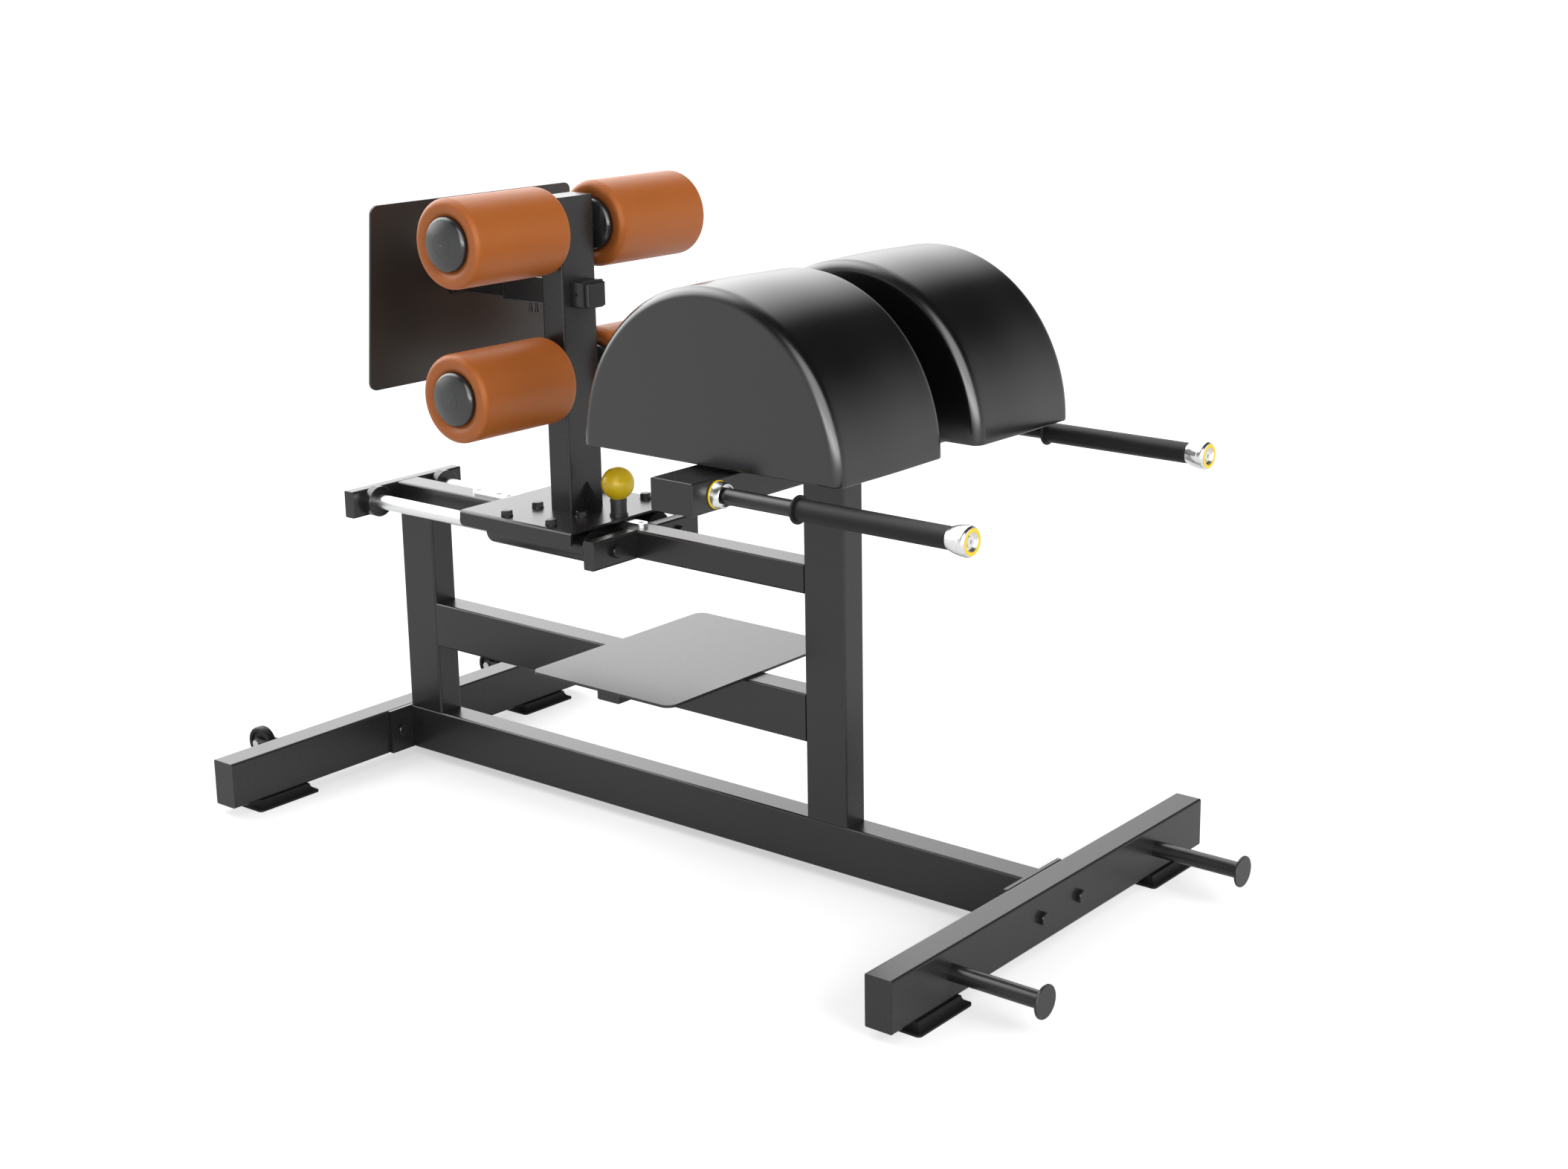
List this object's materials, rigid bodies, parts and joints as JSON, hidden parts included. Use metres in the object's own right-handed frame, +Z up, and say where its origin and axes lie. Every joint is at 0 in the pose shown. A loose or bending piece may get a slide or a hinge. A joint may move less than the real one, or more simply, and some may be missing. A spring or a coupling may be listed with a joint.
{
  "type": "glute ham developer",
  "caption": "Glute ham developer: long tube frame with half round thigh pads and handles, and a pin-locked sliding carriage with ankle rollers and a foot plate.",
  "frame": {"origin": "on the floor under the middle of the machine's overall box", "axes": "+X along the machine towards the handles, +Y across it to the far side of the picture, +Z up"},
  "size_m": [2.1048, 1.0386, 1.332],
  "materials": {
    "frame_paint": "satin charcoal powder coat",
    "end_cap_paint": "satin dark powder coat",
    "foot_rubber": "matt moulded rubber",
    "bright_steel": "polished hard chrome",
    "zinc_steel": "zinc plated",
    "black_steel": "black oxide, satin",
    "board": "black painted plywood",
    "pad_vinyl": "satin black upholstery",
    "roller_leather": "satin tan upholstery",
    "hub_plastic": "glossy moulded nylon",
    "black_plastic": "matt moulded nylon",
    "yellow_plastic": "glossy yellow",
    "grip_rubber": "matt grip rubber",
    "handle_metal": "satin turned aluminium",
    "footplate_paint": "satin dark brown grey",
    "wheel_rubber": "matt"
  },
  "bodies": {
    "frame": {"rear_crossbar": "frame_paint", "front_crossbar": "frame_paint", "tube_end_caps": "end_cap_paint", "feet": "foot_rubber", "frame_screws": "zinc_steel", "base_rail": "frame_paint", "rail_flanges": "frame_paint", "frame_bolts": "black_steel", "rear_post": "frame_paint", "front_post": "frame_paint", "mid_rail": "frame_paint", "upper_rail": "frame_paint", "rear_rod_beam": "frame_paint", "front_rod_beams": "frame_paint", "guide_rods": "bright_steel", "rod_collars": "frame_paint", "locating_strip": "bright_steel", "storage_pegs": "frame_paint", "step_plate": "frame_paint", "step_supports": "frame_paint", "pad_cross_tube": "frame_paint", "pad_boards": "board", "pad_bolts": "black_steel", "pad_near": "pad_vinyl", "pad_far": "pad_vinyl", "handle_bars": "black_steel", "yellow_rings": "yellow_plastic", "handle_fittings": "handle_metal", "handle_grips": "grip_rubber", "wheel_forks": "frame_paint", "wheel_axles": "zinc_steel"},
    "carriage": {"carriage_plate": "frame_paint", "bearing_housings": "frame_paint", "rod_bushes": "black_plastic", "saddle_bolts": "black_steel", "column": "frame_paint", "column_cap": "end_cap_paint", "foot_sleeve": "frame_paint", "sleeve_liners": "black_plastic", "clamp_screws": "black_steel", "plunger_barrel": "black_plastic", "plunger_spring": "zinc_steel", "roller_axles": "zinc_steel", "axle_collars": "black_plastic"},
    "foot_plate_slide": {"foot_plate": "footplate_paint", "foot_plate_tube": "frame_paint", "foot_plate_bolts": "black_steel", "foot_tube_stop": "black_plastic"},
    "locating_pin": {"plunger_pin": "zinc_steel", "ball_knob": "yellow_plastic"},
    "roller_upper_near": {"roller_core_un": "hub_plastic", "roller_cover_un": "roller_leather"},
    "roller_upper_far": {"roller_core_uf": "hub_plastic", "roller_cover_uf": "roller_leather"},
    "roller_lower_near": {"roller_core_ln": "hub_plastic", "roller_cover_ln": "roller_leather"},
    "roller_lower_far": {"roller_core_lf": "hub_plastic", "roller_cover_lf": "roller_leather"},
    "wheel_near": {"wheel_near": "wheel_rubber"},
    "wheel_far": {"wheel_far": "wheel_rubber"}
  },
  "joints": [
    {"name": "carriage_travel", "type": "slide", "parent": "frame", "child": "carriage", "axis": [1, 0, 0], "range_m": [-0.354, 0]},
    {"name": "foot_plate_travel", "type": "slide", "parent": "carriage", "child": "foot_plate_slide", "axis": [1, 0, 0], "range_m": [0, 0.11]},
    {"name": "pin_pull", "type": "slide", "parent": "carriage", "child": "locating_pin", "axis": [0, 0, 1], "range_m": [0, 0.012], "stiffness_N_per_m": 900, "springref_m": -0.012, "deforming": ["plunger_spring"]},
    {"name": "roller_upper_near_spin", "type": "hinge", "parent": "carriage", "child": "roller_upper_near", "pos_m": [-0.3615, -0.19875, 1.243], "axis": [0, 1, 0], "continuous": true},
    {"name": "roller_upper_far_spin", "type": "hinge", "parent": "carriage", "child": "roller_upper_far", "pos_m": [-0.3615, 0.19875, 1.243], "axis": [0, 1, 0], "continuous": true},
    {"name": "roller_lower_near_spin", "type": "hinge", "parent": "carriage", "child": "roller_lower_near", "pos_m": [-0.3615, -0.19875, 0.9385], "axis": [0, 1, 0], "continuous": true},
    {"name": "roller_lower_far_spin", "type": "hinge", "parent": "carriage", "child": "roller_lower_far", "pos_m": [-0.3615, 0.19875, 0.9385], "axis": [0, 1, 0], "continuous": true},
    {"name": "wheel_near_spin", "type": "hinge", "parent": "frame", "child": "wheel_near", "pos_m": [-1.0174, -0.342, 0.0934], "axis": [0, 1, 0], "continuous": true},
    {"name": "wheel_far_spin", "type": "hinge", "parent": "frame", "child": "wheel_far", "pos_m": [-1.0174, 0.342, 0.0934], "axis": [0, 1, 0], "continuous": true}
  ]
}
